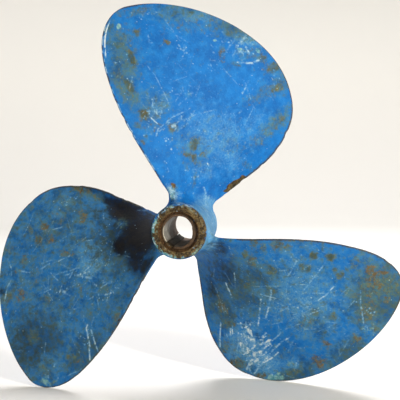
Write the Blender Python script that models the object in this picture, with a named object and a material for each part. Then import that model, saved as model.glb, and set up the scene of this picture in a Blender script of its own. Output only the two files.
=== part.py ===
# Three-bladed right-hand boat propeller: one bronze casting with a bush in its bore.
#
# Frame: the shaft axis is the Y axis and the aft end looks along -Y, so the pressure faces
# are seen from -Y. +Z is up as the wheel stands, on the edges of its two lower blades. The
# origin is on the shaft axis, in the plane of the hub's forward face. All lengths are metres.

from math import atan2, ceil, pi, radians, sqrt

import bmesh
import bpy
import numpy as np
from mathutils import Matrix

# The wheel as a whole: 13 inches across with 10 inches of pitch
DIAMETER = 0.3302
PITCH = 0.254
BLADE_COUNT = 3

# Hub
HUB_LENGTH = 0.060
HUB_AFT_RADIUS = 0.0200
HUB_FORWARD_RADIUS = 0.0214
HUB_AFT_ROUND = 0.0020
HUB_FORWARD_ROUND = 0.0015
COUNTERBORE_RADIUS = 0.0142
COUNTERBORE_DEPTH = 0.0025

# Bore bush for a 7/8 inch shaft, and the key that passes through it into the hub
SHAFT_RADIUS = 0.0111
BUSH_WALL = 0.0016
BUSH_CLEARANCE = 0.0003
KEY_WIDTH = 0.0064
KEY_DEPTH = 0.0032
KEY_ANGLE = -125.5

# Blade. The generator line runs from the axis to the tip, where it leans forward by the rake.
# At this angle of the upper blade's generator line the two lower blades reach equally low.
GENERATOR_ANGLE = 103.5
GENERATOR_FROM_FORWARD_FACE = 0.0463
TIP_RAKE = 0.0040
ROOT_THICKNESS = 0.0100
TIP_THICKNESS = 0.0040
ROOT_EDGE_THICKNESS = 0.0042
TIP_EDGE_THICKNESS = 0.0016
ROOT_FILLET = 0.0080

# Blade outline. At each share of the radius the edges lie this many degrees from the
# generator line, before sqrt(1 - share^2) rounds the tip off.
OUTLINE_SHARES = (0.12, 0.20, 0.30, 0.45, 0.60, 0.75, 0.90, 1.00)
LEADING_SPREAD = (61.0, 64.6, 67.3, 72.3, 76.7, 80.3, 75.3, 56.8)
TRAILING_SPREAD = (4.0, 7.4, 10.7, 14.1, 16.0, 17.4, 19.4, 20.6)

# Fineness of the meshes
HUB_SIDES = 72
ROUND_STEPS = 4
FILLET_STEPS = 5
SPAN_STEPS = 28
CHORD_STEPS = 13
TIP_SHARE = 0.9998

TIP_RADIUS = DIAMETER / 2
LEAD_PER_RADIAN = PITCH / (2 * pi)
HUB_MEAN_RADIUS = (HUB_AFT_RADIUS + HUB_FORWARD_RADIUS) / 2
BUSH_RADIUS = SHAFT_RADIUS + BUSH_WALL
BORE_RADIUS = BUSH_RADIUS + BUSH_CLEARANCE
BUSH_LENGTH = HUB_LENGTH - COUNTERBORE_DEPTH
CUT_OVERRUN = 0.004


def clear_scene():
    for item in list(bpy.data.objects):
        bpy.data.objects.remove(item, do_unlink=True)


def principled(name, colour, roughness, metallic):
    material = bpy.data.materials.new(name)
    material.use_nodes = True
    shader = material.node_tree.nodes["Principled BSDF"]
    shader.inputs["Base Color"].default_value = (*colour, 1.0)
    shader.inputs["Roughness"].default_value = roughness
    shader.inputs["Metallic"].default_value = metallic
    return material


def make_object(name, points, faces, material=None):
    mesh = bpy.data.meshes.new(name)
    mesh.from_pydata([tuple(p) for p in points], [], faces)
    mesh.validate()
    build = bmesh.new()
    build.from_mesh(mesh)
    bmesh.ops.recalc_face_normals(build, faces=build.faces)
    build.to_mesh(mesh)
    build.free()
    if material:
        mesh.materials.append(material)
    item = bpy.data.objects.new(name, mesh)
    bpy.context.scene.collection.objects.link(item)
    return item


def make_guide(name, points, faces):
    """A body that only shapes the casting through a Boolean."""
    item = make_object(name, points, faces)
    item.hide_render = True
    item.display_type = "WIRE"
    return item


def boolean(target, other, operation):
    step = target.modifiers.new(f"{operation.lower()}_{other.name}", "BOOLEAN")
    step.operation = operation
    step.solver = "EXACT"
    step.object = other


def shade_round(item, sharp_angle=35.0):
    item.data.shade_smooth()
    item.data.set_sharp_from_angle(angle=radians(sharp_angle))


def around_axis(radius, angle, y):
    """A point at an angle from +X towards +Z, seen from aft."""
    return (radius * np.cos(angle), y, radius * np.sin(angle))


def turned(profile, sides):
    """Points and faces of a solid turned about Y from (radius, y) pairs, closed at both ends."""
    angles = np.linspace(0.0, 2 * pi, sides, endpoint=False)
    points = [around_axis(radius, angle, y) for radius, y in profile for angle in angles]
    faces = []
    for ring in range(len(profile) - 1):
        for i in range(sides):
            j = (i + 1) % sides
            low, high = ring * sides, (ring + 1) * sides
            faces.append((low + i, low + j, high + j, high + i))
    last = (len(profile) - 1) * sides
    faces.append(tuple(range(sides)))
    faces.append(tuple(range(last, last + sides)))
    return points, faces


def round_corner(radius, y, size, towards_y):
    """(radius, y) pairs of a quarter round from the end face out to the barrel."""
    turns = np.linspace(0.0, pi / 2, ROUND_STEPS + 1)
    return [
        (radius - size + size * np.sin(a), y + towards_y * size * (1 - np.cos(a)))
        for a in turns
    ]


def hub_barrel():
    forward = round_corner(HUB_FORWARD_RADIUS, 0.0, HUB_FORWARD_ROUND, -1)
    aft = round_corner(HUB_AFT_RADIUS, -HUB_LENGTH, HUB_AFT_ROUND, 1)
    return turned(forward + aft[::-1], HUB_SIDES)


def through(at, stations, values):
    """A smooth curve through a value at each station: cubic pieces with shared slopes."""
    stations, values = np.asarray(stations), np.asarray(values)
    slopes = np.gradient(values, stations)
    i = np.clip(np.searchsorted(stations, at) - 1, 0, len(stations) - 2)
    gap = stations[i + 1] - stations[i]
    t = (at - stations[i]) / gap
    start = (2 * t**3 - 3 * t**2 + 1) * values[i] + (t**3 - 2 * t**2 + t) * gap * slopes[i]
    end = (3 * t**2 - 2 * t**3) * values[i + 1] + (t**3 - t**2) * gap * slopes[i + 1]
    return start + end


def blade_radii():
    """Radii of the blade's sections: inside the hub, up the root fillet, then out to the tip."""
    inside = [(BORE_RADIUS + HUB_AFT_RADIUS) / 2]
    rise = np.linspace(0.0, pi / 2, FILLET_STEPS + 1)
    fillet = HUB_MEAN_RADIUS + ROOT_FILLET * (1 - np.cos(rise))
    sweep = np.linspace(0.0, 1.0, SPAN_STEPS + 1)[1:]
    span = fillet[-1] + (TIP_RADIUS * TIP_SHARE - fillet[-1]) * (1 - (1 - sweep) ** 2)
    return np.concatenate([inside, fillet, span])


def fillet_flare(height):
    """How far the root fillet, a quarter round, stands out at a height above the hub."""
    left = np.clip(ROOT_FILLET - height, 0.0, ROOT_FILLET)
    return ROOT_FILLET - sqrt(ROOT_FILLET**2 - left**2)


def blade_section(radius):
    """The closed section at one radius: the face from leading to trailing edge, then the back.

    The section lies along the helix of the pitch, and its two sides stand off square to it.
    The outline is the blade's as seen along the shaft, so half of each edge's own thickness
    is taken off the helix's ends. The root fillet stands off all round the section, and is
    faced off with the hub's forward end.
    """
    share = radius / TIP_RADIUS
    rounding = sqrt(1 - share**2)
    pitch_angle = atan2(LEAD_PER_RADIAN, radius)
    flare = fillet_flare(radius - HUB_MEAN_RADIUS)
    outline_share = max(share, OUTLINE_SHARES[0])
    lead = radians(through(outline_share, OUTLINE_SHARES, LEADING_SPREAD)) * rounding
    trail = radians(through(outline_share, OUTLINE_SHARES, TRAILING_SPREAD)) * rounding
    out = max((radius - HUB_MEAN_RADIUS) / (TIP_RADIUS - HUB_MEAN_RADIUS), 0.0)
    edge = ROOT_EDGE_THICKNESS + (TIP_EDGE_THICKNESS - ROOT_EDGE_THICKNESS) * sqrt(out)
    middle = ROOT_THICKNESS + (TIP_THICKNESS - ROOT_THICKNESS) * out
    half_edge = edge / 2 * np.sin(pitch_angle) / radius

    along = (1 - np.cos(np.linspace(0.0, pi, CHORD_STEPS))) / 2
    turn = half_edge - lead + (trail + lead - 2 * half_edge) * along
    corner = np.zeros(CHORD_STEPS)
    corner[[0, -1]] = -sqrt(0.5), sqrt(0.5)
    turn += corner * flare * np.cos(pitch_angle) / radius
    arch = (middle - edge) * rounding * (1 - (2 * along - 1) ** 2)
    stand_off = edge / 2 + flare * np.sqrt(1 - corner**2)

    face = section_side(radius, share, turn, pitch_angle, -stand_off)
    back = section_side(radius, share, turn, pitch_angle, arch + stand_off)
    section = np.concatenate([face, back[::-1]])
    if flare:
        section[:, 1] = np.minimum(section[:, 1], -HUB_FORWARD_ROUND / 2)
    return section


def section_side(radius, share, turn, pitch_angle, offset):
    """Points of one side, offset forward from the helix along the section's own normal."""
    from_forward_face = GENERATOR_FROM_FORWARD_FACE - TIP_RAKE * share + LEAD_PER_RADIAN * turn
    angle = radians(GENERATOR_ANGLE) + turn + offset * np.sin(pitch_angle) / radius
    y = offset * np.cos(pitch_angle) - from_forward_face
    return np.stack(around_axis(radius, angle, y), axis=1)


def blade_bodies():
    """All blades as closed bodies: one lofted blade, turned about the shaft for each copy."""
    sections = [blade_section(radius) for radius in blade_radii()]
    size = len(sections[0])
    blade = np.concatenate(sections)
    loft = []
    for ring in range(len(sections) - 1):
        for i in range(size):
            j = (i + 1) % size
            low, high = ring * size, (ring + 1) * size
            loft.append((low + i, low + j, high + j, high + i))
    last = (len(sections) - 1) * size
    half = size // 2
    for start in (0, last):
        for i in range(half - 1):
            loft.append((start + i, start + i + 1, start + size - 2 - i, start + size - 1 - i))

    points, faces = [], []
    for copy in range(BLADE_COUNT):
        turn = np.array(Matrix.Rotation(-2 * pi * copy / BLADE_COUNT, 3, "Y"))
        base = len(points)
        points.extend(blade @ turn.T)
        faces.extend(tuple(base + i for i in face) for face in loft)
    return points, faces


def bore_cut():
    """The bore for the bush and the counterbore at its aft end, as one turned cutter."""
    floor = COUNTERBORE_DEPTH - HUB_LENGTH
    profile = [
        (BORE_RADIUS, CUT_OVERRUN),
        (BORE_RADIUS, floor),
        (COUNTERBORE_RADIUS, floor),
        (COUNTERBORE_RADIUS, -HUB_LENGTH - CUT_OVERRUN),
    ]
    return turned(profile, HUB_SIDES)


def keyway_cut():
    """A bar along the shaft, from inside the bore to the bottom of the keyway."""
    outward = np.array(around_axis(1.0, radians(KEY_ANGLE), 0.0))
    across = np.array(around_axis(1.0, radians(KEY_ANGLE) + pi / 2, 0.0))
    inner, outer = SHAFT_RADIUS / 2, SHAFT_RADIUS + KEY_DEPTH
    points = []
    for y in (CUT_OVERRUN, COUNTERBORE_DEPTH - HUB_LENGTH):
        for reach, side in ((inner, -1), (outer, -1), (outer, 1), (inner, 1)):
            point = outward * reach + across * side * KEY_WIDTH / 2
            points.append((point[0], y, point[2]))
    sides = [(i, (i + 1) % 4, (i + 1) % 4 + 4, i + 4) for i in range(4)]
    return points, [(0, 1, 2, 3), (4, 5, 6, 7)] + sides


def slotted_sleeve():
    """The bush: a sleeve with a slot along its whole length for the key."""
    inner_half = np.arcsin(KEY_WIDTH / 2 / SHAFT_RADIUS)
    outer_half = np.arcsin(KEY_WIDTH / 2 / BUSH_RADIUS)
    steps = ceil(HUB_SIDES * (1 - outer_half / pi))
    share = np.linspace(0.0, 1.0, steps + 1)
    start = radians(KEY_ANGLE)
    outer = start + outer_half + (2 * pi - 2 * outer_half) * share
    inner = start + inner_half + (2 * pi - 2 * inner_half) * share
    loop = [(BUSH_RADIUS, a) for a in outer] + [(SHAFT_RADIUS, a) for a in inner[::-1]]
    count = len(loop)
    points = [around_axis(r, a, y) for y in (-BUSH_LENGTH, 0.0) for r, a in loop]
    faces = [(i, (i + 1) % count, (i + 1) % count + count, i + count) for i in range(count)]
    for i in range(steps):
        quad = (i, i + 1, count - 2 - i, count - 1 - i)
        faces.append(quad)
        faces.append(tuple(q + count for q in quad))
    return points, faces


def build():
    clear_scene()
    blue_paint = principled("blue_paint_on_bronze", (0.03, 0.17, 0.48), 0.45, 0.0)
    bush_steel = principled("bush_steel", (0.33, 0.32, 0.29), 0.5, 1.0)

    casting = make_object("propeller_casting", *hub_barrel(), blue_paint)
    boolean(casting, make_guide("guide_blades", *blade_bodies()), "UNION")
    boolean(casting, make_guide("cut_bore", *bore_cut()), "DIFFERENCE")
    boolean(casting, make_guide("cut_keyway", *keyway_cut()), "DIFFERENCE")
    shade_round(casting)

    bush = make_object("bore_bush", *slotted_sleeve(), bush_steel)
    shade_round(bush)


build()
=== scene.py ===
# Worn three-bladed boat propeller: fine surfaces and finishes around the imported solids.
from itertools import product
from math import pi, radians

import bpy
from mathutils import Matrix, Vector
import numpy as np


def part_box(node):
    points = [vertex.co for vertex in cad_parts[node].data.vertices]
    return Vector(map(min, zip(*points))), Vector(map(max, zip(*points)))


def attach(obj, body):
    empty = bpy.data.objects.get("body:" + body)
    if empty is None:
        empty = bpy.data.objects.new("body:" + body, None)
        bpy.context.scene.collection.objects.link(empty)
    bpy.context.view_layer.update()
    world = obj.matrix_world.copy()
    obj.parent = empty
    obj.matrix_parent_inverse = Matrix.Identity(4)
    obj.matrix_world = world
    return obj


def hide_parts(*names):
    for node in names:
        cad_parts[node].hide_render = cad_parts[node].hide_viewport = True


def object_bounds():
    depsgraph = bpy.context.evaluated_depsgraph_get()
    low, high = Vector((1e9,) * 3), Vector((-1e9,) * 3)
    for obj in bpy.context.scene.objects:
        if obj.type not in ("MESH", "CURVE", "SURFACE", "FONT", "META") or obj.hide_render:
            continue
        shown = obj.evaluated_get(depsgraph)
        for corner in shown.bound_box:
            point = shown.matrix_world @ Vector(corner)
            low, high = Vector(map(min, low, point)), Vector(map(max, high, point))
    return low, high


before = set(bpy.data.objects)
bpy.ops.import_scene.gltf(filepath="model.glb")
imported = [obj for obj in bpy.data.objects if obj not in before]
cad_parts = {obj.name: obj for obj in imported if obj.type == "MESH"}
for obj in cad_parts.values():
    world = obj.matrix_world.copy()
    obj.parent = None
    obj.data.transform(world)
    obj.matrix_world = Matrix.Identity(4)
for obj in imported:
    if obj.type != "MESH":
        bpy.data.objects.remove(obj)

cadBox = [list(corner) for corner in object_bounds()]
castingLow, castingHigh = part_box("propeller_casting")
print("frame loaded, casting", [round(1000 * (b - a), 1) for a, b in zip(castingLow, castingHigh)], "mm")


# small helpers shared by every piece

def hexColour(code):  # sRGB hex to the linear RGBA that a shader socket wants
    shares = [int(code[i:i + 2], 16) / 255 for i in (1, 3, 5)]
    return [s / 12.92 if s <= 0.04045 else ((s + 0.055) / 1.055) ** 2.4 for s in shares] + [1.0]


def smooth(low, high, value):  # 3t2 - 2t3 of the share of the way from low to high
    t = np.clip((value - low) / (high - low), 0.0, 1.0)
    return t * t * (3 - 2 * t)


def band(stops, value):  # up from the first stop to the second, down from the third to the fourth
    return smooth(stops[0], stops[1], value) * smooth(stops[3], stops[2], value)


def aroundShaft(radius, y, angle):  # x = r cos a and z = r sin a, the shaft lying along y
    return np.stack(np.broadcast_arrays(radius * np.cos(angle), y, radius * np.sin(angle)), axis=-1)


# Cloud: random numbers on a cubic lattice one grain apart, blended by 3t2 - 2t3 of the place
# inside the cell, and summed over octaves of half the grain and half the weight. 0 to 1.
def cloud(points, grain, seed, octaves=1):
    total, weight, wrap = np.zeros(len(points)), 0.0, 32
    for octave in range(octaves):
        lattice = np.random.default_rng(seed + octave).random((wrap, wrap, wrap))
        place = points * 2**octave / grain
        cell = np.floor(place).astype(int)
        t = place - cell
        t = t * t * (3 - 2 * t)
        share = 0.5**octave
        for step in product((0, 1), repeat=3):
            near = np.prod(np.where(np.array(step) == 1, t, 1 - t), axis=1)
            i, j, k = ((cell + step) % wrap).T
            total += share * near * lattice[i, j, k]
        weight += share
    return total / weight


# A grid of points, rows by columns, joined to quads. The columns close round on themselves.
# The rows do too, or an end runs into its pole, one point joined to that row.
def gridMesh(name, points, poles=(), closedRows=False):
    rows, columns = points.shape[:2]
    index = np.arange(rows * columns).reshape(rows, columns)
    following = np.roll(index, -1, axis=1)
    corners = [index, following, np.roll(following, -1, axis=0), np.roll(index, -1, axis=0)]
    faces = np.stack(corners, axis=-1)[:rows if closedRows else rows - 1].reshape(-1, 4).tolist()
    flat = points.reshape(-1, 3)
    for end, pole in enumerate(poles):
        rim, after = (index[0], following[0]) if end == 0 else (index[-1], following[-1])
        centre = np.full(columns, len(flat))
        flat = np.concatenate([flat, [pole]])
        fan = [after, rim, centre] if end == 0 else [rim, after, centre]
        faces += np.stack(fan, axis=-1).tolist()
    mesh = bpy.data.meshes.new(name)
    mesh.from_pydata(flat.tolist(), [], faces)
    mesh.validate()
    mesh.shade_smooth()
    piece = bpy.data.objects.new(name, mesh)
    bpy.context.scene.collection.objects.link(piece)
    return piece


def paintOn(piece, masks):  # point attributes for the shader, padded at the poles
    for name, values in masks.items():
        whole = np.zeros(len(piece.data.vertices), np.float32)
        whole[:values.size] = values.ravel()
        whole[values.size:] = values.ravel()[-1]
        piece.data.attributes.new(name, "FLOAT", "POINT").data.foreach_set("value", whole)


# the wheel and its three blades

# Lengths are in metres and angles in degrees. The outline is given as the edges' turns from the
# generator line at shares of the tip radius.
wheel = dict(tipRadius=0.1651, pitch=0.254, generatorAngle=103.5)
hub = dict(
    length=0.060, aftRadius=0.0200, forwardRadius=0.0214, aftRound=0.0020, forwardRound=0.0015,
    counterboreRadius=0.0142, counterboreDepth=0.0025, boreRadius=0.0130,
    keyWidth=0.0064, keyAngle=-125.5, keyFloor=0.0143,
    turns=360, roundSteps=9, endStep=0.00028, barrelStep=0.00055, boreStep=0.0044,
)
blade = dict(
    generatorFromFace=0.0463, tipRake=0.0040, rootThickness=0.0100, tipThickness=0.0040,
    rootEdge=0.0042, tipEdge=0.0016, leastEdge=0.02, rootFillet=0.0080, buried=0.0014, inset=0.00003,
    shares=(0.12, 0.20, 0.30, 0.45, 0.60, 0.75, 0.90, 1.00),
    leading=(61.0, 64.6, 67.3, 72.3, 76.7, 80.3, 75.3, 56.8),
    trailing=(4.0, 7.4, 10.7, 14.1, 16.0, 17.4, 19.4, 20.6),
    filletRows=16, spanRows=222, faceColumns=300, backColumns=88, noseColumns=6,
    tipCrowding=1.3, edgeCrowding=0.05, tipShare=0.9998, hubClearance=0.003,
)
leadPerRadian = wheel["pitch"] / (2 * pi)
meanHubRadius = (hub["aftRadius"] + hub["forwardRadius"]) / 2


def hubRadiusAt(y):
    return hub["forwardRadius"] + (hub["forwardRadius"] - hub["aftRadius"]) * y / hub["length"]


# the outline's curve: cubic pieces through the stations, sharing their slopes where they meet
def through(at, stations, values):
    stations, values = np.asarray(stations), np.asarray(values)
    slopes = np.gradient(values, stations)
    i = np.clip(np.searchsorted(stations, at) - 1, 0, len(stations) - 2)
    gap = stations[i + 1] - stations[i]
    t = (at - stations[i]) / gap
    start = (2 * t**3 - 3 * t**2 + 1) * values[i] + (t**3 - 2 * t**2 + t) * gap * slopes[i]
    end = (3 * t**2 - 2 * t**3) * values[i + 1] + (t**3 - t**2) * gap * slopes[i + 1]
    return start + end


def edgeTurns(radius):  # leading and trailing edge, degrees from the generator line
    share = np.clip(radius / wheel["tipRadius"], blade["shares"][0], 1.0)
    rounding = np.sqrt(1 - np.clip(radius / wheel["tipRadius"], 0, 1) ** 2)
    lead = through(share, blade["shares"], blade["leading"]) * rounding
    trail = through(share, blade["shares"], blade["trailing"]) * rounding
    return lead, trail


def bladeRows():  # height above the hub: buried, up the round of the fillet, out to the tip
    fillet = blade["rootFillet"] * (1 - np.cos(np.linspace(0, pi / 2, blade["filletRows"] + 1)))
    reach = wheel["tipRadius"] - meanHubRadius
    sweep = np.linspace(0, 1, blade["spanRows"] + 1)[1:]
    span = fillet[-1] + (reach - fillet[-1]) * (1 - (1 - sweep) ** blade["tipCrowding"])
    span[-1] = reach * blade["tipShare"]
    return np.concatenate([[-blade["buried"]], fillet, span])


# Once round a section: the face from leading to trailing edge, a half round nose, the back,
# and the other nose. along is the share of the chord, side -1 on the face and 1 on the back,
# push how far a nose stands past the end of the chord.
def sectionLoop():
    face = np.linspace(0, 1, blade["faceColumns"])
    face -= blade["edgeCrowding"] * np.sin(2 * pi * face)
    back = np.linspace(1, 0, blade["backColumns"])
    nose = np.linspace(0, pi, blade["noseColumns"] + 2)[1:-1]
    along = np.concatenate([face, np.ones_like(nose), back, np.zeros_like(nose)])
    side = np.concatenate([-np.ones_like(face), -np.cos(nose), np.ones_like(back), np.cos(nose)])
    push = np.concatenate([0 * face, np.sin(nose), 0 * back, -np.sin(nose)])
    return along, side, push


# Blade surface: at each height over the hub the section lies along the helix y = -k*turn, from
# -lead to +trail. Each side stands off it by half the edge thickness, plus the arch (parabola,
# 4x(1 - x)) on the back, plus the fillet's quarter round, plus the relief. The edge is round at
# the tip too, and the root is held off the hub's forward face.
def bladeSurface(copy, leadNick=0.0, trailNick=0.0, relief=0.0):
    height = bladeRows()[:, None]
    along, side, push = (v[None, :] for v in sectionLoop())
    tip, fillet = wheel["tipRadius"], blade["rootFillet"]
    radius = meanHubRadius + height
    out = np.clip(height / (tip - meanHubRadius), 0, 1)
    share = radius / tip
    rounding = np.sqrt(1 - np.clip(share, 0, 1) ** 2)
    helix = np.arctan2(leadPerRadian, radius)
    lead, trail = edgeTurns(radius)
    left = np.clip(fillet - height, 0, fillet)
    flare = fillet - np.sqrt(fillet**2 - left**2)
    edge = blade["rootEdge"] + (blade["tipEdge"] - blade["rootEdge"]) * np.sqrt(out)
    fromTip = np.clip(1 - (tip - radius) / (edge / 2), 0, 1)
    half = edge / 2 * np.sqrt(np.clip(1 - fromTip**2, blade["leastEdge"] ** 2, 1))
    start = (half + leadNick) / radius - np.radians(lead)
    end = np.radians(trail) - (half + trailNick) / radius
    turn = start + (end - start) * along
    middle = blade["rootThickness"] + (blade["tipThickness"] - blade["rootThickness"]) * out
    arch = np.clip(middle - edge, 0, None) * rounding * 4 * along * (1 - along) * half / (edge / 2)
    stand = half + flare + relief
    offset = side * stand + np.where(side > 0, arch * side, 0)
    turn = turn + push * stand * np.cos(helix) / radius
    y = leadPerRadian * -turn - blade["generatorFromFace"] + blade["tipRake"] * share
    y = y + offset * np.cos(helix)
    angle = radians(wheel["generatorAngle"] + 120 * copy) + turn + offset * np.sin(helix) / radius
    atRoot = np.clip(1 - height / (1.5 * fillet), 0, 1)
    limit = -hub["forwardRound"] / 2 * atRoot + blade["hubClearance"] * (1 - atRoot)
    y = np.where(atRoot > 0, np.minimum(y, limit), y)
    radius = radius + (hubRadiusAt(y) - meanHubRadius) * atRoot
    return aroundShaft(radius - blade["inset"] * out, y, angle)


def discPlace(radius, turn):  # millimetres in the wheel's disc, the generator line running up
    a = np.radians(turn)
    return np.stack([-radius * np.sin(a), radius * np.cos(a)], axis=-1)


# How each blade is worn, in millimetres from the shaft axis and degrees from the generator line.
# age is how weathered the whole film is, seed its clouds, grow how far past their ovals the
# stains reach, and edgeGlint how bright the trailing edge is rubbed. Most marks are ovals:
# (radius, turn, half width, half length, strength, rust, lean), noughts at the end left off. The
# length is radial before it leans over, rust runs from olive 0 to rusty 1, and dull adds to age.
# A scratch is (half width, strength, then the places it passes), chips are groups of flecks
# (radius, turn, spread, how many, size), and bundles are groups of hair scratches (radius, turn,
# spread, how many, aim, fan either side, least and most strength).
# Of these ovals, the dark grime ones also hold painted shade, the shadows of the hub and the upper blade on
# the roots, and the chalky ones a painted sheen, most on the lower face of the upper blade.
upperBlade = dict(
    name="upper_blade", age=0.36, seed=11, grow=1.3, edgeGlint=1.0,
    stain=(
        (134, 3, 9, 20, 0.5, 0.15, -6), (110, 7, 6, 16, 0.55, 0.3, 8), (84, 2, 9, 10, 0.5, 0.4),
        (150, -20, 26, 6, 0.5, 0.1, 10), (124, -46, 5, 22, 0.55, 0.2, -24), (92, -54, 5, 16, 0.45, 0.2, -8),
        (28, 4, 4, 4, 0.9, 0.3), (58, -22, 10, 12, 0.45, 0.3), (138, -35, 12, 6, 0.5, 0.3, 20),
        (70, -44, 12, 6, 0.35, 0.1), (129, 2, 2, 6.5, 0.95, 0.35, -4), (136, 1, 1.4, 2, 0.5, 0.2),
        (110, 6, 2.6, 7.5, 0.9, 0.25, 12), (145, -1, 2.8, 2.6, 0.85, 0.35), (144, 3, 2, 3.2, 0.6, 0.1),
        (152, 3, 2.2, 2.2, 0.5), (87, 4, 3, 4, 1, 0.5), (81, 8, 1.7, 3, 0.8, 0.4, 20),
        (72, 6, 1.6, 2, 0.6, 0.3), (69, 9, 1.8, 2.2, 0.75, 0.6, 10), (92, -4, 6.5, 5, 0.45, 0.05, -20),
        (85, -3, 5, 2.5, 0.5, 0.1), (74, -9, 3.2, 2.6, 0.75, 0.5), (62, -21, 2.4, 5, 0.9, 0.35, -10),
        (54, -17, 2.2, 2, 0.9, 0.6), (53, -22, 2.4, 2.8, 0.95, 0.55), (56, -28, 1.8, 2.6, 0.7, 0.4),
        (136, -9, 1.9, 1.9, 0.85, 0.45), (137, -38, 4, 2.4, 0.8, 0.45, 20),
        (136, -43, 3.4, 7, 0.85, 0.3, -38), (124, -47, 2.4, 7, 0.8, 0.4, -25),
        (132, -26, 2.2, 5, 0.65, 0.6, 12), (126, -31, 3, 1.8, 0.6, 0.4), (104, -55, 3.4, 8, 0.7, 0.3, -8),
        (154, -21, 11, 4, 0.55, 0.1, 8), (148, -30, 10, 4, 0.55, 0.2, 8), (160, -3, 8, 2.6, 0.6, 0.1, 4),
        (161, 2, 4, 2.4, 0.6, 0.3), (98, -16, 2, 3.4, 0.4, 0.5), (36, -26, 1.6, 6, 0.6),
        (64, -58, 5, 2.6, 0.5, 0.1), (46, -34, 3, 2.4, 0.35, 0.1), (118, 10, 2, 6, 0.45, 0.1, 8),
    ),
    bare=((46.5, -62.5, 2.9, 10.5, 1, 0, -4), (33, -2, 1.8, 3, 0.7, 0, 20)),
    pale=(
        (27, -1, 3.6, 5, 0.9, 0, 20), (31, 3, 2, 4, 0.8), (25, -10, 2.4, 2, 0.7), (89, -2, 3.4, 3, 0.5),
        (75, -9, 1.8, 1.4, 0.9), (131, -14, 3.2, 3.2, 0.4), (72, -35, 12, 8, 0.16), (60, -48, 9, 8, 0.18),
    ),
    green=(
        (153, 3, 1.6, 1.6, 0.9), (27, 2, 3.6, 5, 0.6), (30, 8, 3, 4, 0.6), (137, -31, 2, 1.6, 0.7),
        (141, -36, 2.2, 1.8, 0.8), (139, -23, 1.6, 1.2, 0.7),
    ),
    # Chalking, and on the lower face of this blade a painted sheen of soft glare.
    chalkAndSheen=(
        (74, -32, 28, 22, 0.65), (60, -46, 16, 14, 0.66), (88, -48, 14, 20, 0.55),
        (155, -20, 24, 6, 0.6, 0, 8), (146, -33, 12, 7, 0.7, 0, 10), (45, -32, 12, 10, 0.6),
        (92, -5, 9, 8, 0.5), (126, 7, 6, 22, 0.35),
    ),
    scratches=(
        (0.30, 0.7, (121, -2), (113, -4), (102, -6), (91, -8)),
        (0.34, 0.95, (88, -17), (86, -15), (82, -9), (75, -1), (70, 1)),
        (0.26, 0.7, (90, -28), (89, -27), (84, -20), (78, -12)), (0.5, 0.9, (142, -4), (137, -4)),
        (0.7, 1.2, (139, -33), (136.5, -34.2)), (0.45, 0.6, (118, -37), (113, -37)),
        (0.65, 1.1, (113, -37), (108, -36.8)), (0.5, 0.8, (97, -39), (94, -39)),
        (0.6, 1.4, (127.5, -31.4), (129.5, -34), (131, -36), (135, -37.4)),
        (0.55, 0.9, (33, -38), (29, -44), (25, -48)), (0.4, 0.5, (104, -12), (98, -14)),
        (0.25, 0.4, (112, -6), (106, -14), (103, -20)), (0.3, 0.5, (100, 3), (96, -3), (93, -9)),
        (0.4, 0.6, (80, 5), (76, 0)), (0.3, 0.45, (66, -8), (60, -14)),
    ),
    chips=(
        (137, -24, 10, 22, 0.8), (138, -33, 7, 16, 0.9), (119, -23, 5, 9, 0.7), (90, -2, 6, 14, 0.8),
        (131, -14, 5, 18, 0.7), (65, -5, 9, 14, 0.7), (100, -8, 30, 20, 0.5), (155, -4, 12, 18, 0.7),
        (126, 6, 14, 26, 0.6), (60, -30, 26, 24, 0.6), (76, 3, 6, 12, 0.7), (35, -25, 10, 18, 0.7),
        (128, -45, 8, 12, 0.7), (45, 0, 8, 12, 0.6),
    ),
    dull=(
        (132, 5, 9, 26, 0.55), (112, 8, 7, 24, 0.5, 0, 8), (158, -14, 26, 8, 0.58, 0, 8),
        (150, -30, 20, 9, 0.6, 0, 8), (130, -48, 8, 14, 0.4, 0, -20), (92, -2, 14, 14, 0.4),
        (72, -12, 12, 16, 0.35), (56, -22, 12, 12, 0.4), (104, -54, 7, 22, 0.4, 0, -8), (155, 6, 8, 9, 0.5),
        (72, -34, 24, 18, 0.27), (110, -30, 20, 30, 0.12),
    ),
    bundles=(
        (89, -1, 7, 18, 0, 180, 0.5, 1.2), (78, -10, 14, 12, 40, 14, 0.5, 0.9),
        (137, -30, 12, 14, 0, 90, 0.5, 1.1),
    ),
    sootAndShade=((24, 6, 4, 6, 0.6), (150, -25, 12, 3, 0.3, 0, 8), (84, 3, 2, 3, 0.4)),
)
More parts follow.
